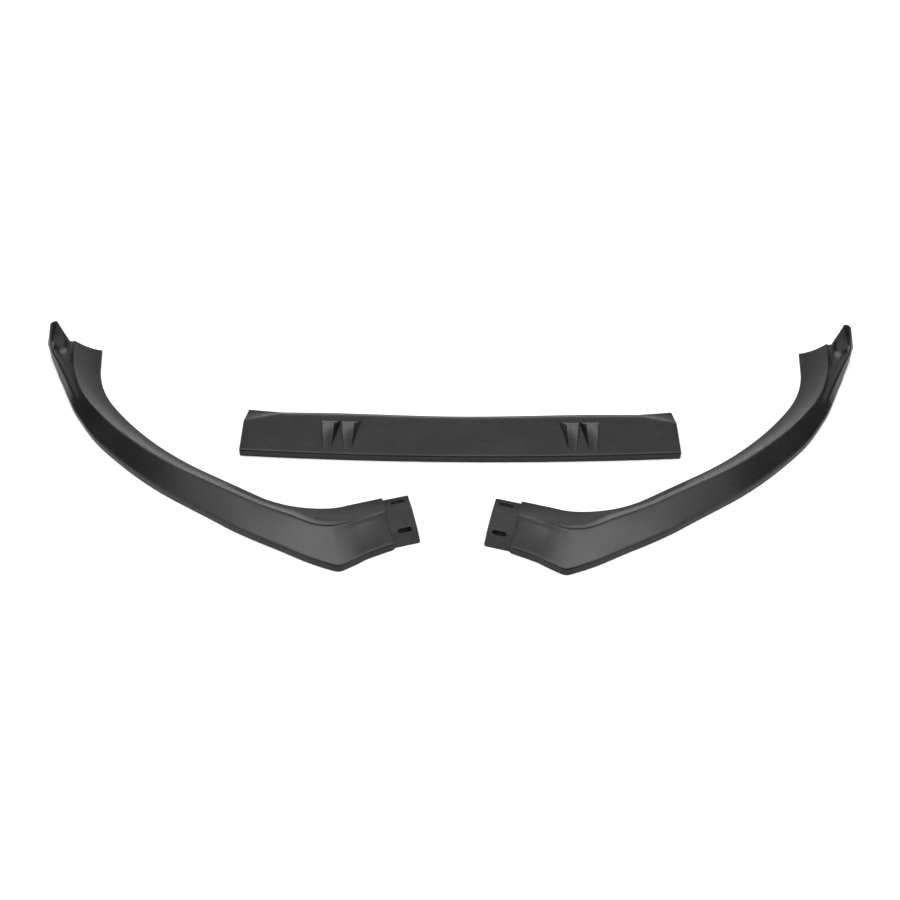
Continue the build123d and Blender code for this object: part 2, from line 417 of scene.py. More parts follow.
@dataclass(frozen=True)
class Moulding:
    """Thin-walled section shared by all three pieces, in millimetres."""

    wall: float = 3.0
    lip_height: float = LIP_HEIGHT
    lip_tuck: float = 0.4
    nose_depth: float = NOSE_DEPTH
    nose_drop: float = 2.3
    flat_rim: float = 2.0
    crest_run: float = 1.5
    flange_dip: float = 0.16
    hollow_lean: float = 2.0
    edge_round: float = 0.9
    crest_round: float = 0.7
    ledge_round: float = 1.8
    nose_round: float = 1.1
    bead_round: float = 4.0
    flange_points: int = 16
    face_points: int = 14
    bead_points: int = 8
    inner_face_points: int = 6
    inner_flange_points: int = 8
    round_steps: int = 4
    round_limit: float = 0.45

    def face_line(self, at: Station) -> tuple[Point, Point]:
        """Finds the ends of the plain outer face.

        Args:
            at: The station.

        Returns:
            The foot of the crest and the start of the lip's nose.
        """
        foot = (at.flange + self.crest_run, at.crest - at.step)
        return foot, (at.width - self.nose_depth, self.lip_height)

    def face_height(self, at: Station, reach: float) -> float:
        """Height of the plain outer face at a distance from the inner edge.

        Args:
            at: The station.
            reach: Distance from the inner edge.

        Returns:
            The height.
        """
        foot, end = self.face_line(at)
        return foot[1] + (end[1] - foot[1]) * (reach - foot[0]) / (end[0] - foot[0])

    def _on_face(self, at: Station, reach: float, lift: float) -> Point:
        """Point above the plain outer face.

        Args:
            at: The station.
            reach: Distance out from the crest.
            lift: Height above the face.

        Returns:
            The point.
        """
        return at.flange + reach, self.face_height(at, at.flange + reach) + lift

    def _inside(self, before: Point, at: Point, after: Point) -> Point:
        """Corner of the inner skin under a corner of the outer skin.

        Args:
            before: Point before the corner.
            at: The corner.
            after: Point after it.

        Returns:
            The inner corner.
        """
        first = math.atan2(at[1] - before[1], at[0] - before[0])
        second = math.atan2(after[1] - at[1], after[0] - at[0])
        middle, reach = (first + second) / 2, self.wall / math.cos((second - first) / 2)
        return at[0] + reach * math.sin(middle), at[1] - reach * math.cos(middle)

    def outline(self, at: Station) -> np.ndarray:
        """Draws the closed section with rounded edges.

        Args:
            at: The station.

        Returns:
            Its points as rows of distance out and height.
        """
        width, wall = at.width, self.wall
        dip = self.flange_dip * (at.crest - at.edge)
        lip = width - self.lip_tuck
        rear, crest = (0.0, at.edge), (at.flange, at.crest)
        foot = self.face_line(at)[0]
        ledge = self._on_face(at, at.ledge, at.ledge_lift)

        near, far = at.bead - at.bead_width / 2, at.bead + at.bead_width / 2
        bead_start, bead_end = self._on_face(at, near, at.bead_lift), self._on_face(at, far, at.bead_lift)
        nose_start, nose_end = (width - at.nose, at.lip), (width, at.lip - self.nose_drop)
        share = self.flat_rim / max(math.dist(nose_start, bead_end), 2 * self.flat_rim)
        rim = tuple(n + share * (b - n) for n, b in zip(nose_start, bead_end))

        inner_rear, inner_crest = (0.0, at.edge - wall), (at.flange, at.crest - at.step - wall)
        inner_ledge = self._inside(foot, ledge, bead_start)
        inner_bead = self._inside(ledge, self._on_face(at, at.bead, at.bead_lift), nose_start)
        inner_nose = self._inside(bead_end, nose_start, nose_end)

        marks: list[Mark] = [(rear, self.edge_round)]
        marks += unrounded(sagging(rear, crest, dip, self.flange_points))
        marks += [(crest, self.crest_round), (foot, self.crest_round), (ledge, self.ledge_round)]
        marks += unrounded(sagging(ledge, bead_start, at.hollow, self.face_points, self.hollow_lean))
        marks += [(bead_start, self.bead_round)]
        marks += unrounded(sagging(bead_start, bead_end, -at.crown, self.bead_points))
        marks += [(bead_end, self.bead_round)]
        marks += unrounded([*sagging(bead_end, rim, at.dish, self.face_points), rim])
        marks += [(nose_start, self.nose_round), (nose_end, self.nose_round)]
        marks += [((lip, 0.0), self.edge_round), ((lip - wall, 0.0), self.edge_round)]
        marks += unrounded([inner_nose, inner_bead])
        marks += unrounded(sagging(inner_bead, inner_ledge, at.hollow, self.inner_face_points))
        marks += unrounded([inner_ledge, inner_crest])
        marks += unrounded(sagging(inner_crest, inner_rear, dip, self.inner_flange_points))
        marks += [(inner_rear, self.edge_round)]
        return self._rounded(marks)

    def _rounded(self, marks: list[Mark]) -> np.ndarray:
        """Rounds the marked corners of a closed outline.

        Args:
            marks: Corners, each with its radius, which is 0 for a point of a curve.

        Returns:
            The points of the rounded outline.
        """
        points = np.array([mark[0] for mark in marks])
        out: list[np.ndarray] = []
        for i, (_, radius) in enumerate(marks):
            here, before, after = points[i], points[i - 1], points[(i + 1) % len(marks)]
            if radius == 0:
                out.append(here)
                continue
            back, ahead = np.linalg.norm(before - here), np.linalg.norm(after - here)
            cut = min(radius, self.round_limit * back, self.round_limit * ahead)
            start, end = here + (before - here) * cut / back, here + (after - here) * cut / ahead
            for t in np.linspace(0, 1, self.round_steps + 1):
                out.append((1 - t) ** 2 * start + 2 * t * (1 - t) * here + t**2 * end)
        return np.array(out)


@dataclass(frozen=True)
class PlanLine:
    """A run of tangent lines and bends in plan, as pairs of length and turn in degrees."""

    start: Point
    heading: float
    pieces: tuple[Pair, ...]

    @property
    def length(self) -> float:
        """Length of the whole line."""
        return sum(length for length, _ in self.pieces)

    def mark(self, piece: int, share: float) -> float:
        """Distance along the line to a share of one of its pieces."""
        return sum(length for length, _ in self.pieces[:piece]) + share * self.pieces[piece][0]

    def at(self, run: float) -> tuple[np.ndarray, float]:
        """Finds a place on the line.

        Args:
            run: Distance from its start.

        Returns:
            The point in plan and the heading there in radians.
        """
        x, y = self.start
        heading = math.radians(self.heading)
        for length, turn in self.pieces:
            part = min(run, length)
            angle = math.radians(turn) * part / length
            if turn == 0:
                x, y = x + part * math.cos(heading), y + part * math.sin(heading)
            else:
                radius = length / math.radians(turn)
                x += radius * (math.sin(heading + angle) - math.sin(heading))
                y -= radius * (math.cos(heading + angle) - math.cos(heading))
            heading += angle
            run -= part
            if run <= 0:
                break
        return np.array((x, y)), heading


def arc(radius: float, turn: float) -> Pair:
    """Length and turn of a bend with a radius."""
    return radius * math.radians(turn), turn


def outward(heading: float) -> np.ndarray:
    """Direction out of a plan line whose heading is given in radians."""
    return np.array((math.sin(heading), -math.cos(heading)))


def place_ring(outline: np.ndarray, origin: np.ndarray, heading: float) -> np.ndarray:
    """Stands a section outline up across a plan line.

    Args:
        outline: Points as rows of distance out and height.
        origin: Place of the inner edge in plan.
        heading: Direction of the line in radians.

    Returns:
        The points in space.
    """
    plan = origin + outline[:, :1] * outward(heading)
    return np.column_stack((plan, outline[:, 1]))


def skin_mesh(name: str, rings: Sequence[np.ndarray]) -> bpy.types.Mesh:
    """Skins closed rings of points into a solid with flat ends.

    Args:
        name: Name of the mesh.
        rings: Rings of points in millimetres, all with the same count.

    Returns:
        The new mesh in metres.
    """
    count = len(rings[0])
    points = np.concatenate(rings) * MM
    faces = []
    for row in range(len(rings) - 1):
        for i in range(count):
            j = (i + 1) % count
            a, b = row * count, (row + 1) * count
            faces.append((a + i, b + i, b + j, a + j))
    faces.append(tuple(range(count)))
    faces.append(tuple(reversed(range((len(rings) - 1) * count, len(rings) * count))))
    mesh = bpy.data.meshes.new(name)
    mesh.from_pydata(points.tolist(), [], faces)
    mesh.validate()
    with_outward_faces(mesh)
    return mesh


def with_outward_faces(mesh: bpy.types.Mesh) -> None:
    """Merges doubles and turns all faces of a mesh outwards.

    Args:
        mesh: The mesh to mend.
    """
    work = bmesh.new()
    work.from_mesh(mesh)
    bmesh.ops.remove_doubles(work, verts=work.verts, dist=MERGE_GAP)
    bmesh.ops.recalc_face_normals(work, faces=work.faces)
    work.to_mesh(mesh)
    work.free()


def link(name: str, data: bpy.types.ID) -> bpy.types.Object:
    """Puts a mesh, curve, lamp or camera into the scene as an object at the origin.

    Args:
        name: Name of the object.
        data: What it holds.

    Returns:
        The new object.
    """
    made = bpy.data.objects.new(name, data)
    bpy.context.scene.collection.objects.link(made)
    return made


def finished_mesh(piece: bpy.types.Object) -> bpy.types.Mesh:
    """Plain mesh of an object with its modifiers applied."""
    depsgraph = bpy.context.evaluated_depsgraph_get()
    return bpy.data.meshes.new_from_object(piece.evaluated_get(depsgraph), depsgraph=depsgraph)


def settle(piece: bpy.types.Object, sharp_degrees: float) -> bpy.types.Object:
    """Applies an object's modifiers and shades it smoothly apart from its sharp edges.

    Args:
        piece: The object.
        sharp_degrees: Angle past which an edge stays sharp.

    Returns:
        The same object with a plain mesh.
    """
    mesh = finished_mesh(piece)
    piece.modifiers.clear()
    piece.data = mesh
    mesh.polygons.foreach_set("use_smooth", [True] * len(mesh.polygons))
    mesh.set_sharp_from_angle(angle=math.radians(sharp_degrees))
    mesh.update()
    return piece


def soften_edges(piece: bpy.types.Object, width: float, segments: int = 3, degrees: float = 50.0) -> None:
    """Adds a bevel along the sharp edges of a piece.

    Args:
        piece: The object.
        width: Width of the bevel in millimetres.
        segments: Steps of the rounding.
        degrees: Angle past which an edge is rounded.
    """
    bevel = piece.modifiers.new("soft_edges", "BEVEL")
    bevel.width = width * MM
    bevel.segments = segments
    bevel.limit_method = "ANGLE"
    bevel.angle_limit = math.radians(degrees)
    bevel.use_clamp_overlap = True


def dress(piece: bpy.types.Object, finish: bpy.types.Material) -> None:
    """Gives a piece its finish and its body.

    Args:
        piece: The object.
        finish: The material.
    """
    piece.data.materials.clear()
    piece.data.materials.append(finish)
    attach(piece, BODY)
    LOG.info("%s: %d faces", piece.name, len(piece.data.polygons))


@dataclass
class SideSection:
    """A curved side section with its fin at the wheel arch and its slotted tongue, in millimetres.

    A bend or a sweep is given by its radius and its turn in degrees.
    """

    hand: Hand
    moulding: Moulding = field(default_factory=Moulding)
    joint_x: float = 107.0
    joint_turn: float = 12.5
    joint_length: float = 54.5
    front_bend: Pair = (194.0, 43.5)
    front_length: float = 102.0
    side_sweep: Pair = (613.0, 22.4)
    wheel_bend: Pair = (226.0, 28.4)
    wheel_length: float = 50.0
    right_turn: float = 1.05
    ring_step: float = 4.5
    fold_share: float = 0.17
    fold_round: float = 1.2
    fold_core: float = 3.0
    fold_rings: int = 11
    fold_zone: Pair = (4.0, 30.0)
    fold_step: float = 2.0
    lip_round: float = 5.0
    lip_zone: Pair = (7.0, 2.0)
    ease_reach: float = 3.0
    ease_least: float = 0.05
    ease_rings: int = 9
    ease_taper: float = 0.75
    tongue_length: float = 41.0
    tongue_turn: float = 4.5
    tongue_root: float = 12.0
    tongue_drop: float = 3.3
    tongue_rear_inset: float = 2.0
    tongue_front_inset: float = 3.5
    tongue_front_slope: float = 24.0
    tongue_front_edge: float = 3.6
    tongue_corner: float = 2.0
    tongue_points: int = 10
    tongue_spare: float = 6.0
    cutter_height: float = 60.0
    corner_points: int = 7
    slot_length: float = 23.0
    slot_width: float = 8.0
    slot_from_seam: float = 22.0
    slot_reaches: Pair = (13.0, 77.0)
    slot_end_points: int = 13
    # Short dark walls under the slots stand in for the shade under the tongue: they hide the lit floor so
    # that the slots read dark.
    collar_tops: Pair = (6.2, 8.6)
    collar_wall: float = 1.6
    collar_foot: float = 0.4
    end_round: float = 0.6
    sharp_degrees: float = 38.0
    tongue_sharp_degrees: float = 6.0

    def __post_init__(self) -> None:
        """Lays out the plan line and the key stations."""
        self.line = PlanLine(
            (self.joint_x, 0.0),
            -self.joint_turn,
            (
                (self.joint_length, 0.0),
                arc(*self.front_bend),
                (self.front_length, 0.0),
                arc(*self.side_sweep),
                arc(*self.wheel_bend),
                (self.wheel_length, 0.0),
            ),
        )
        mark = self.line.mark
        self.fold_run = mark(1, self.fold_share)
        fold = Station(56, 78.5, 22, turn=4)
        self.joint_keys: Keys = (
            (0.0, JOINT),
            (mark(0, 0.86), Station(44.5, 72, 18, edge=6.3, step=1.6, dish=0.6)),
            (mark(1, 0.08), Station(52, 74.5, 20.5, edge=4, turn=2, dish=0.2)),
            (self.fold_run, fold),
        )
        self.arch_keys: Keys = (
            (self.fold_run, fold),
            (mark(1, 0.29), Station(53.5, 64.5, 23, turn=1)),
            (mark(1, 0.52), Station(39.5, 56, 25)),
            (mark(1, 0.75), Station(34.5, 50, 26.5)),
            (mark(2, 0.0), Station(34, 46, 28)),
            (mark(3, 0.0), Station(35, 40.5, 29)),
            (mark(3, 0.5), Station(35.5, 33.7, 30)),
            (mark(3, 0.75), Station(37.3, 30.2, 30)),
            (mark(4, 0.0), Station(38, 24.4, 29.3)),
            (mark(4, 0.12), self._fin((38.2, 23.6, 29.2), (5, 0, 0), (12, 0, 4, 0), 13.7, 2)),
            (mark(4, 0.40), self._fin((38.7, 22, 28.8), (5, 0, 0.6), (13, 4.2, 5, 1.0), 13.8, 1.7)),
            (mark(4, 0.68), self._fin((39.8, 23.8, 28.5), (6, 0, 1.4), (16.4, 8.6, 5, 1.2), 14.2, 1.4)),
            (mark(4, 0.91), self._fin((41.6, 29.5, 28), (7, 0.8, 1.8), (22.8, 12.3, 5, 1.3), 15, 0.8)),
            (mark(5, 0.36), self._fin((43, 37, 28.2), (7.5, 1.4, 2.2), (33.5, 19.5, 5.4, 1.4), 18, 0.5)),
            (mark(5, 0.62), self._fin((43.2, 40.8, 28.5), (7.5, 1.8, 2.4), (35, 27, 7, 1.6), 22, 0.5)),
            (mark(5, 0.82), self._fin((43.3, 43.6, 29), (7.5, 2.2, 1.8), (31.8, 38.5, 10, 2.1), 25.5, 0.5)),
            (mark(5, 1.0), self._fin((43.3, 46, 29.5), (7.5, 2.6, 1.2), (27.5, 51, 13, 2.6), 28, 0.5)),
        )

    @staticmethod
    def _fin(moulding: Triple, face: Triple, bead: Quad, lip: float, nose: float) -> Station:
        """Station where the fin rises from the moulding.

        Args:
            moulding: Widths of the flange and the face, and height of the crest.
            face: Width and lift of the ledge, and hollow of the fin's face.
            bead: Distance of the bead from the crest, its lift, width and crown.
            lip: Height of the lip.
            nose: Depth of the lip's nose.

        Returns:
            The station.
        """
        ledge = dict(zip(("ledge", "ledge_lift", "hollow"), face))
        rim = dict(zip(("bead", "bead_lift", "bead_width", "crown"), bead))
        return Station(*moulding, **ledge, **rim, lip=lip, nose=nose)

    @property
    def node(self) -> str:
        """Name of the CAD node that this section stands for."""
        return f"{self.hand.value}_side_section"

    def _station(self, run: float) -> Station:
        """Station of the moulding at a distance along its inner edge."""
        return station_at(self.joint_keys if run < self.fold_run else self.arch_keys, run)

    def _ring(self, run: float) -> np.ndarray:
        """Draws the moulding across its inner edge.

        Args:
            run: Distance along the inner edge.

        Returns:
            The ring's points.
        """
        at = self._station(run)
        origin, heading = self.line.at(run)
        return place_ring(self.moulding.outline(at), origin, heading - math.radians(at.turn))

    def _eased_ring(self, run: float, ease: float) -> np.ndarray:
        """Ring averaged with its neighbours near the fold.

        Args:
            run: Distance along the inner edge.
            ease: Reach of the averaging at the fold.

        Returns:
            The ring's points.
        """
        away = (run - self.fold_run) / (self.ease_reach * ease)
        spread = min(ease * math.exp(-away * away), run, self.line.length - run)
        if spread < self.ease_least:
            return self._ring(run)
        steps = np.linspace(-1.0, 1.0, self.ease_rings)
        weights = 1.0 - np.abs(steps) * self.ease_taper
        rings = [self._ring(run + step * spread) * weight for step, weight in zip(steps, weights)]
        return np.sum(rings, axis=0) / weights.sum()

    def _soft_ring(self, run: float) -> np.ndarray:
        """Ring of the moulding with a crisp fold in its face and a rounded corner in its lip.

        Args:
            run: Distance along the inner edge.

        Returns:
            The ring's points.
        """
        crisp, soft = self._eased_ring(run, self.fold_round), self._eased_ring(run, self.lip_round)
        at = self._station(run)
        inset = at.width - self.moulding.outline(at)[:, :1]
        start, end = self.lip_zone
        return crisp + np.clip((start - inset) / (start - end), 0.0, 1.0) * (soft - crisp)

    def moulding_mesh(self) -> bpy.types.Mesh:
        """Skins the moulding of a right-hand section, with closer rings near the fold.

        Returns:
            The mesh, with the joint at its place along X and Y 0.
        """
        count = round(self.line.length / self.ring_step)
        runs = np.linspace(0.0, self.line.length, count + 1)
        start, end = self.fold_zone
        clear = end + self.fold_step / 2
        coarse = np.arange(start, clear, self.fold_step)
        fine = np.linspace(-self.fold_core, self.fold_core, self.fold_rings)
        near = self.fold_run + np.concatenate((-coarse, fine, coarse))
        runs = np.unique(np.concatenate((runs[np.abs(runs - self.fold_run) > clear], near)))
        return skin_mesh(f"{self.node}_moulding", [self._soft_ring(run) for run in runs])

    def _tongue_outline(self) -> np.ndarray:
        """Draws the section of the tongue, which follows the joint section one wall lower.

        Returns:
            Its points as rows of distance out and height.
        """
        mould = self.moulding
        dip = mould.flange_dip * (JOINT.crest - JOINT.edge)
        front = JOINT.width - self.tongue_front_inset
        rear = (self.tongue_rear_inset, JOINT.edge - self.tongue_drop)
        ridge = (JOINT.flange, JOINT.crest - JOINT.step - self.tongue_drop)
        bend = (front - self.tongue_front_slope, mould.lip_height - self.tongue_drop)
        tip = (front, self.tongue_front_edge)
        top = [rear, *sagging(rear, ridge, dip, self.tongue_points), ridge, bend, tip]
        under = [(x, z - mould.wall) for x, z in reversed(top)]
        return np.array(top + under)

    def tongue_mesh(self) -> bpy.types.Mesh:
        """Cuts the tongue to its rounded plan, with both slots through it and short dark walls below them
        that stand in for shade.

        Returns:
            The mesh of a right-hand tongue.
        """
        origin, heading = self.line.at(0.0)
        outline, way = self._tongue_outline(), self._tongue_way(heading)
        ends = (-self.tongue_root - self.tongue_spare, self.tongue_length + self.tongue_spare)
        rings = [place_ring(outline, origin + way * end, heading) for end in ends]
        blank = link("tongue_blank", skin_mesh("tongue_blank", rings))
        # The walls joined under the slots stand in for shade, so that the slots read dark.
        tools = [("UNION", link("collar", mesh)) for mesh in self._collars()]
        tools.append(("INTERSECT", link("tongue_plan", self._tongue_plan())))
        for operation, tool in tools:
            cut = blank.modifiers.new(tool.name, "BOOLEAN")
            cut.operation, cut.solver, cut.object = operation, "EXACT", tool
        mesh = finished_mesh(blank)
        for spent in (blank, *(tool for _, tool in tools)):
            bpy.data.objects.remove(spent)
        with_outward_faces(mesh)
        return mesh

    def _tongue_way(self, heading: float) -> np.ndarray:
        """Direction of the tongue in plan, from the seam towards the centre section."""
        angle = heading + math.pi - math.radians(self.tongue_turn)
        return np.array((math.cos(angle), math.sin(angle)))

    def _in_plan(self, loop: Sequence[Point]) -> np.ndarray:
        """Places points of the tongue in plan.

        Args:
            loop: Points as distances along the tongue and out from its inner end.

        Returns:
            The points in plan as rows.
        """
        origin, heading = self.line.at(0.0)
        inward, out = self._tongue_way(heading), outward(heading)
        return np.array([origin + u * inward + s * out for u, s in loop])

    def _slot_loop(self, reach: float, margin: float = 0.0) -> list[Point]:
        """Outline of a slot as distances along the tongue and out from its inner end.

        Args:
            reach: Distance of the slot from the inner end of the seam.
            margin: Width to add all round.

        Returns:
            The outline's points.
        """
        half, r = (self.slot_length - self.slot_width) / 2, self.slot_width / 2 + margin
        angles = np.linspace(-math.pi / 2, math.pi / 2, self.slot_end_points)
        near = [(self.slot_from_seam + half + r * math.cos(a), reach + r * math.sin(a)) for a in angles]
        far = [(self.slot_from_seam - half - r * math.cos(a), reach - r * math.sin(a)) for a in angles]
        return near + far

    def _collars(self) -> list[bpy.types.Mesh]:
        """Makes blocks for the short dark walls that hang below the slots and stand in for the shade under
        the tongue, so that the slots read dark.

        Returns:
            One mesh for each slot.
        """
        made = []
        for reach, top in zip(self.slot_reaches, self.collar_tops):
            plan = self._in_plan(self._slot_loop(reach, self.collar_wall))
            rings = [np.column_stack((plan, np.full(len(plan), z))) for z in (self.collar_foot, top)]
            made.append(skin_mesh("collar", rings))
        return made

    def _tongue_plan(self) -> bpy.types.Mesh:
        """Makes an upright prism of the tongue's plan with its slots as holes.

        Returns:
            The prism's mesh.
        """
        front = JOINT.width - self.tongue_front_inset
        rear, root, tip, r = self.tongue_rear_inset, -self.tongue_root, self.tongue_length, self.tongue_corner
        corner = np.linspace(0, math.pi / 2, self.corner_points)
        loops = [
            [(root, rear), (root, front)]
            + [(tip - r + r * math.sin(a), front - r + r * math.cos(a)) for a in corner]
            + [(tip - r + r * math.cos(a), rear + r - r * math.sin(a)) for a in corner]
        ]
        loops += [self._slot_loop(reach) for reach in self.slot_reaches]
        curve = bpy.data.curves.new("tongue_plan", "CURVE")
        curve.dimensions, curve.fill_mode, curve.extrude = "2D", "BOTH", self.cutter_height * MM
        for loop in loops:
            spline = curve.splines.new("POLY")
            spline.points.add(len(loop) - 1)
            for point, (x, y) in zip(spline.points, self._in_plan(loop) * MM):
                point.co = (x, y, 0.0, 1.0)
            spline.use_cyclic_u = True
        holder = link("tongue_plan_curve", curve)
        mesh = finished_mesh(holder)
        bpy.data.objects.remove(holder)
        with_outward_faces(mesh)
        return mesh

    def _lie(self) -> Matrix:
        """Works out how a right-hand mesh lies as this section.

        Returns:
            Its mirroring or its turn.
        """
        if self.hand is Hand.LEFT:
            return Matrix.Scale(-1.0, 4, (1, 0, 0))
        return Matrix.Rotation(math.radians(self.right_turn), 4, "Z")

    def build(self, finish: bpy.types.Material, slot: str) -> None:
        """Makes the section's pieces where the CAD section lies.

        Args:
            finish: The material.
            slot: Name of the record's slot; not used.
        """
        body = link(f"{self.node}_moulding", self.moulding_mesh())
        tongue = link(f"{self.node}_tongue", self.tongue_mesh())
        for piece in (body, tongue):
            piece.data.transform(self._lie())
            with_outward_faces(piece.data)
        low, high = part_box(self.node)
        box = np.array([v.co for v in body.data.vertices])
        outer = 0 if self.hand is Hand.LEFT else 1
        shift_x = (low.x, high.x)[outer] - (box[:, 0].min(), box[:, 0].max())[outer]
        shift = Matrix.Translation((shift_x, high.y - box[:, 1].max(), 0.0))
        for piece, sharp in ((body, self.sharp_degrees), (tongue, self.tongue_sharp_degrees)):
            piece.data.transform(shift)
            soften_edges(piece, self.end_round)
            settle(piece, sharp)
            dress(piece, finish)
        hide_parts(self.node)


@dataclass
class WedgeRibs:
    """Raised wedge ribs in two pairs, laid out along the centre blade by Geometry Nodes, in millimetres."""

    count: int = 4
    pair_offset: float = 198.0
    pitch: float = 33.0
    rise: float = 10.0
    front: float = 12.0
    peak: float = 63.0
    foot: float = 81.5
    top_front: float = 12.0
    top_rear: float = 20.5
    base_front: float = 14.0
    base_rear: float = 35.0
    lean: float = 4.0
    sink: float = 0.3
    skirt: float = 1.5
    edge_round: float = 0.5
    edge_steps: int = 2
    edge_degrees: float = 12.0
    sharp_degrees: float = 24.0

    def template(self, blade: "CentreSection") -> bpy.types.Object:
        """Builds one rib that leans towards +X, with the front lip below it at Y 0.

        Args:
            blade: The section that carries it.

        Returns:
            The rib's object.
        """
        at = blade.station(self.pair_offset)
        share = (self.peak - self.front) / (self.foot - self.front)
        base_peak = self.base_front + share * (self.base_rear - self.base_front)
        rows = (
            (self.front, self.base_front, self.top_front, -self.sink, 0.0),
            (self.peak, base_peak, self.top_rear, self.rise, self.lean),
            (self.foot, self.base_rear, self.base_rear, -self.sink, 0.0),
        )
        rings = []
        for back, base, top, rise, lean in rows:
            surface = blade.moulding.face_height(at, at.width - back)
            low, high = surface - self.skirt, surface + rise
            across = (-base / 2, base / 2, lean + top / 2, lean - top / 2)
            rings.append(np.array([(x, back, z) for x, z in zip(across, (low, low, high, high))]))
        rib = link("rib_template", skin_mesh("rib_template", rings))
        soften_edges(rib, self.edge_round, self.edge_steps, self.edge_degrees)
        return settle(rib, self.sharp_degrees)

    def tree(self, finish: bpy.types.Material) -> bpy.types.NodeTree:
        """Builds the tree that lays ribs along an arc in plan.

        Args:
            finish: Material of the ribs.

        Returns:
            The Geometry Nodes tree, with named inputs.
        """
        tree = bpy.data.node_groups.new("rib_row", "GeometryNodeTree")
        sheet = NodeSheet(tree)
        sizes = ("Arc radius", "Pair offset", "Pitch")
        tree.interface.new_socket("Rib", in_out="INPUT", socket_type="NodeSocketObject")
        for name in sizes:
            tree.interface.new_socket(name, in_out="INPUT", socket_type="NodeSocketFloat")
        tree.interface.new_socket("Ribs", in_out="OUTPUT", socket_type="NodeSocketGeometry")
        given = sheet.node("NodeGroupInput").outputs
        radius, offset, pitch = (Num(sheet, given[name]) for name in sizes)
        line = {"Count": self.count, "Offset": (0.0, 0.0, 0.0)}
        row = sheet.node("GeometryNodeMeshLine", {}, line).outputs[0]
        index = sheet.num("GeometryNodeInputIndex", 0)
        pair = (index * 0.5).floor()
        within, side = index - pair * 2, pair * 2 - 1
        angle = (side * offset + (within - 0.5) * pitch) / radius
        spot = {0: radius * angle.sine(), 1: radius * (1 - angle.cosine())}
        place, turn, mirror = (
            sheet.node("ShaderNodeCombineXYZ", {}, values).outputs[0]
            for values in (spot, {2: angle}, {0: side, 1: 1.0, 2: 1.0})
        )
        points = sheet.node("GeometryNodeSetPosition", {}, {0: row, 2: place}).outputs[0]
        rib = sheet.node("GeometryNodeObjectInfo", {}, {0: given["Rib"]}).outputs["Geometry"]
        copies = {"Points": points, "Instance": rib, "Rotation": turn, "Scale": mirror}
        ribs = sheet.node("GeometryNodeInstanceOnPoints", {}, copies).outputs[0]
        real = sheet.node("GeometryNodeRealizeInstances", {}, {0: ribs}).outputs[0]
        dressed = sheet.node("GeometryNodeSetMaterial", {}, {"Geometry": real, "Material": finish}).outputs[0]
        sheet.node("NodeGroupOutput", {}, {0: dressed})
        return tree

    def build(self, blade: "CentreSection", finish: bpy.types.Material, slot: str) -> None:
        """Lays the ribs on the blade and makes them one piece.

        Args:
            blade: The section that carries them.
            finish: The material.
            slot: Name of the record's slot; not used.
        """
        template = self.template(blade)
        ribs = link("wedge_ribs", bpy.data.meshes.new("wedge_ribs"))
        nodes = ribs.modifiers.new("rib_row", "NODES")
        nodes.node_group = self.tree(finish)
        values = {
            "Rib": template,
            "Arc radius": blade.radius * MM,
            "Pair offset": self.pair_offset * MM,
            "Pitch": self.pitch * MM,
        }
        for socket in nodes.node_group.interface.items_tree:
            if socket.in_out == "INPUT":
                nodes[socket.identifier] = values[socket.name]
        settle(ribs, self.sharp_degrees)
        bpy.data.objects.remove(template)
        with_outward_faces(ribs.data)
        ribs.data.transform(blade.to_frame())
        dress(ribs, finish)


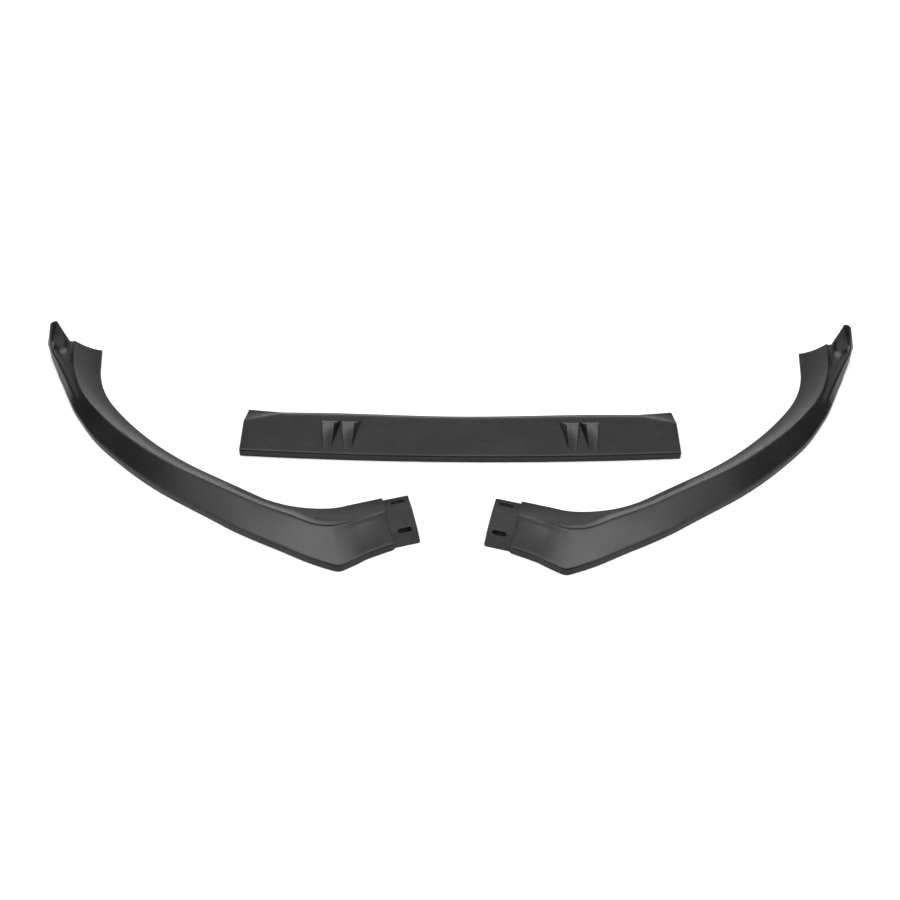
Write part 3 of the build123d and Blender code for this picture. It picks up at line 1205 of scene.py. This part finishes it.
@dataclass
class CentreSection:
    """The bowed centre blade with its rear strip and its blended ends, in millimetres."""

    moulding: Moulding = field(default_factory=Moulding)
    ribs: WedgeRibs = field(default_factory=WedgeRibs)
    width: float = 710.0
    bow: float = 12.0
    depth: float = 110.2
    rib_depth: float = 112.7
    blend_depth: float = 109.2
    strip: float = 20.0
    crest: float = 16.5
    step: float = 0.8
    end_blend: float = 50.0
    end_turn: float = 2.0
    end_bend: float = 3.2
    ring_step: float = 6.0
    blend_rings: int = 10
    end_round: float = 0.6
    sharp_degrees: float = 38.0
    node: str = "centre_section"

    def __post_init__(self) -> None:
        """Works out the arc of the front lip and the key stations."""
        half = self.width / 2
        self.radius = (half * half + self.bow * self.bow) / (2 * self.bow)
        self.half_run = self.radius * math.asin(half / self.radius)
        self.blend_run = self.half_run - self.end_blend
        self.keys: Keys = (
            (-self.blend_run, self._blade(self.blend_depth)),
            (-self.ribs.pair_offset, self._blade(self.rib_depth)),
            (0.0, self._blade(self.depth)),
            (self.ribs.pair_offset, self._blade(self.rib_depth)),
            (self.blend_run, self._blade(self.blend_depth)),
        )

    def _blade(self, depth: float) -> Station:
        """Station of the blade away from its ends."""
        return Station(self.strip, depth - self.strip, self.crest, step=self.step)

    def station(self, run: float) -> Station:
        """Station of the blade at a distance from its middle."""
        return station_at(self.keys, run)

    def _ring(self, run: float, at: Station, turn: float = 0.0) -> np.ndarray:
        """Ring of the blade with its lip on the front arc.

        Args:
            run: Distance from the middle along the arc.
            at: The station there.
            turn: Turn of the section in plan in degrees.

        Returns:
            The points, with the lip's middle at X 0 and Y 0.
        """
        angle = run / self.radius
        lip = np.array((self.radius * math.sin(angle), self.radius * (1 - math.cos(angle))))
        heading = angle - math.radians(turn)
        return place_ring(self.moulding.outline(at), lip - at.width * outward(heading), heading)

    def blade_mesh(self) -> bpy.types.Mesh:
        """Skins the blade from end to end.

        Returns:
            The mesh, with the front lip's middle at X 0 and Y 0.
        """
        end = self._ring(self.half_run, JOINT, self.end_turn)
        reach = self.moulding.outline(JOINT)[:, 0]
        bend_at = (0.0, JOINT.flange, JOINT.width)
        end[:, 0] += np.interp(reach, bend_at, (0.0, self.end_bend, 0.0))
        inner = self._ring(self.blend_run, self.station(self.blend_run))
        blend = [end + (inner - end) * share for share in np.linspace(0.0, 1.0, self.blend_rings + 1)]
        mirrored = [ring * np.array((-1.0, 1.0, 1.0)) for ring in blend]
        runs = np.linspace(-self.blend_run, self.blend_run, round(2 * self.blend_run / self.ring_step) + 1)
        middle = [self._ring(run, self.station(run)) for run in runs[1:-1]]
        return skin_mesh("centre_blade", [*mirrored, *middle, *reversed(blend)])

    def to_frame(self) -> Matrix:
        """Move from the front lip's middle to the CAD section's place."""
        low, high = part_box(self.node)
        return Matrix.Translation(((low.x + high.x) / 2, low.y, 0.0))

    def build(self, finish: bpy.types.Material, slot: str) -> None:
        """Makes the blade and its ribs where the CAD section lies.

        Args:
            finish: The material.
            slot: Name of the record's slot; not used, only passed on to the ribs.
        """
        blade = link("centre_blade", self.blade_mesh())
        blade.data.transform(self.to_frame())
        soften_edges(blade, self.end_round)
        settle(blade, self.sharp_degrees)
        dress(blade, finish)
        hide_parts(self.node)
        self.ribs.build(self, finish, slot)


@dataclass
class Studio:
    """Pale floor with painted shade where the object closes it in, soft light from all round, white
    surroundings and the camera, in metres.

    A pair of limits is where a light level changes. The room's limits are parts of a unit direction.
    """

    camera_place: Triple = (0.00224, -1.61671, 1.46517)
    camera_pitch: float = 42.0
    camera_roll: float = 0.4
    camera_reach: float = 200.0
    lens: float = 54.0
    sensor: float = 36.0
    shift_pixels: Pair = (-1.5, -0.5)
    floor_size: float = 60.0
    floor_tone: float = 0.6
    floor_lift: float = 0.62
    gloss_zone: Pair = (0.42, 0.62)
    gloss_shares: Pair = (0.16, 0.0)
    # Painted shade on the floor: reach, samples and limits of the occlusion mask that darkens it, and the
    # painted shade's tone.
    shade_reach: float = 0.06
    shade_samples: int = 4
    shade_zone: Pair = (0.40, 0.50)
    shade_tone: float = 0.01
    back_level: float = 0.68
    back_zone: Pair = (0.45, 0.8)
    high_back_share: float = 0.5
    high_back_zone: Pair = (0.42, 0.62)
    front_level: float = 0.12
    front_zone: Pair = (-0.1, 0.1)
    side_level: float = 0.03
    top_level: float = 0.5
    top_zone: Pair = (0.8, 0.93)
    top_side_level: float = 1.6
    top_side_widths: Pair = (0.1, 0.28)
    top_side_heights: Pair = (0.78, 0.9)
    top_side_depths: Pair = (0.0, 0.2)
    strip_level: float = 5.8
    strip_foot: Pair = (0.77, 0.845)
    strip_top: Pair = (0.85, 0.875)
    strip_bend: float = 0.15
    strip_widths: Pair = (0.1, 0.56)
    fill_level: float = 0.9
    fill_way: Pair = (0.940, -0.342)
    fill_widths: Pair = (0.87, 0.95)
    fill_foot: Pair = (-0.05, 0.02)
    fill_top: Pair = (0.8, 0.95)
    softbox_place: Triple = (0.0, -0.55, 1.9)
    softbox_target: Triple = (0.0, -0.4, 0.0)
    softbox_size: Pair = (1.5, 0.7)
    softbox_power: float = 6.0

    def build(self) -> None:
        """Sets up the whole studio."""
        self._camera()
        self._floor()
        self._world()
        self._softbox()
        bpy.context.scene.view_settings.view_transform = "Standard"

    def _camera(self) -> None:
        """Places the camera at the photograph's view."""
        data = bpy.data.cameras.new("camera")
        data.lens, data.sensor_width, data.sensor_fit = self.lens, self.sensor, "HORIZONTAL"
        data.shift_x, data.shift_y = (pixels / IMAGE_PIXELS for pixels in self.shift_pixels)
        data.clip_end = self.camera_reach
        camera = link("camera", data)
        tilt = Matrix.Rotation(math.radians(90.0 - self.camera_pitch), 4, "X")
        roll = Matrix.Rotation(math.radians(self.camera_roll), 4, "Z")
        camera.matrix_world = Matrix.Translation(self.camera_place) @ tilt @ roll
        bpy.context.scene.camera = camera

    def _seen(self, sheet: NodeSheet) -> Num:
        """Marks the rays that show the floor: from the camera, a clear piece or, near the middle, a gloss.

        Args:
            sheet: The floor's node sheet.

        Returns:
            The share of the floor's glow that a ray sees.
        """
        path = sheet.node("ShaderNodeLightPath").outputs
        rays = ("Is Camera Ray", "Is Glossy Ray", "Is Transmission Ray")
        camera, gloss, clear = (Num(sheet, path[name]) for name in rays)
        place = sheet.node("ShaderNodeTexCoord").outputs["Object"]
        wide = sheet.num("ShaderNodeSeparateXYZ", 0, {}, {0: place}).size()
        return camera.at_least(clear).at_least(gloss * wide.ramp(*self.gloss_zone, *self.gloss_shares))

    def _floor(self) -> None:
        """Lays the floor, which takes the object's shadow, is painted with shade where the object closes it
        in, such as under the slots, and shows white elsewhere.
        """
        half = self.floor_size / 2
        rim = [(-half, -half, 0.0), (half, -half, 0.0), (half, half, 0.0), (-half, half, 0.0)]
        mesh = bpy.data.meshes.new("floor")
        mesh.from_pydata(rim, [], [(0, 1, 2, 3)])
        floor = link("floor", mesh)
        made = bpy.data.materials.new("pale_floor")
        made.use_nodes = True
        sheet = NodeSheet(made.node_tree)
        # Painted shade: an ambient occlusion mask darkens the floor's colour and its glow where the object
        # closes it in, such as under the slots and gaps.
        reach = {"Distance": self.shade_reach}
        shade = sheet.num("ShaderNodeAmbientOcclusion", "AO", {"samples": self.shade_samples}, reach)
        clear = shade.ramp(*self.shade_zone)
        dark, pale = ((tone, tone, tone, 1.0) for tone in (self.shade_tone, self.floor_tone))
        colour = sheet.node("ShaderNodeMix", {"data_type": "RGBA"}, {0: clear, 6: dark, 7: pale}).outputs[2]
        matt = sheet.node("ShaderNodeBsdfDiffuse", {}, {"Color": colour}).outputs[0]
        lift = self._seen(sheet) * clear * self.floor_lift
        glow = sheet.node("ShaderNodeEmission", {}, {"Color": WHITE, "Strength": lift}).outputs[0]
        both = sheet.node("ShaderNodeAddShader", {}, {0: matt, 1: glow}).outputs[0]
        sheet.node("ShaderNodeOutputMaterial", {}, {"Surface": both})
        mesh.materials.append(made)

    def _world(self) -> None:
        """Surrounds the set with a room: pale back, dark sides, soft strips overhead, weak side fills."""
        world = bpy.data.worlds.new("studio")
        bpy.context.scene.world = world
        world.use_nodes = True
        sheet = NodeSheet(world.node_tree)
        way = sheet.node("ShaderNodeTexCoord").outputs["Generated"]
        split = sheet.node("ShaderNodeSeparateXYZ", {}, {0: way}).outputs
        x, y, z = (Num(sheet, output) for output in split)
        wide, level_reach = x.size(), (1 - z * z).at_least(TINY) ** 0.5
        ends = (y.size() / level_reach).ramp(*self.back_zone, self.side_level, self.back_level)
        ends = ends * z.ramp(*self.high_back_zone, 1.0, self.high_back_share)
        low = self.front_level + y.ramp(*self.front_zone) * (ends - self.front_level)
        room = low + z.ramp(*self.top_zone) * (self.top_level - low)
        strip = z.ramp(*self.strip_foot) * (z - wide * self.strip_bend).fall(*self.strip_top)
        strip = strip * wide.fall(*self.strip_widths)
        aside = (wide * self.fill_way[0] + y * self.fill_way[1]) / level_reach
        fill = aside.ramp(*self.fill_widths) * z.ramp(*self.fill_foot) * z.fall(*self.fill_top)
        top_side = wide.ramp(*self.top_side_widths) * z.ramp(*self.top_side_heights)
        top_side = top_side * y.fall(*self.top_side_depths)
        lit = room + strip * self.strip_level + fill * self.fill_level + top_side * self.top_side_level
        camera = sheet.num("ShaderNodeLightPath", "Is Camera Ray")
        level = camera + (1 - camera) * lit
        glow = sheet.node("ShaderNodeBackground", {}, {"Color": WHITE, "Strength": level}).outputs[0]
        sheet.node("ShaderNodeOutputWorld", {}, {"Surface": glow})

    def _softbox(self) -> None:
        """Hangs the soft lamp over the set."""
        data = bpy.data.lights.new("overhead_softbox", "AREA")
        data.shape, data.energy = "RECTANGLE", self.softbox_power
        data.size, data.size_y = self.softbox_size
        lamp = link("overhead_softbox", data)
        way = Vector(self.softbox_target) - Vector(self.softbox_place)
        turn = way.to_track_quat("-Z", "Y").to_matrix().to_4x4()
        lamp.matrix_world = Matrix.Translation(self.softbox_place) @ turn


def main() -> None:
    """Builds the studio and every piece, and logs the face count of each visual piece."""
    logging.basicConfig(level=logging.INFO, format="%(name)s %(message)s")
    for stray in list(bpy.data.objects):
        bpy.data.objects.remove(stray)
    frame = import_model()
    slot = frame["record"]["materials"][0]["slot"]
    finish = SatinPlastic().material()
    for hand in Hand:
        SideSection(hand).build(finish, slot)
    CentreSection().build(finish, slot)
    Studio().build()


if __name__ == "__main__":
    main()
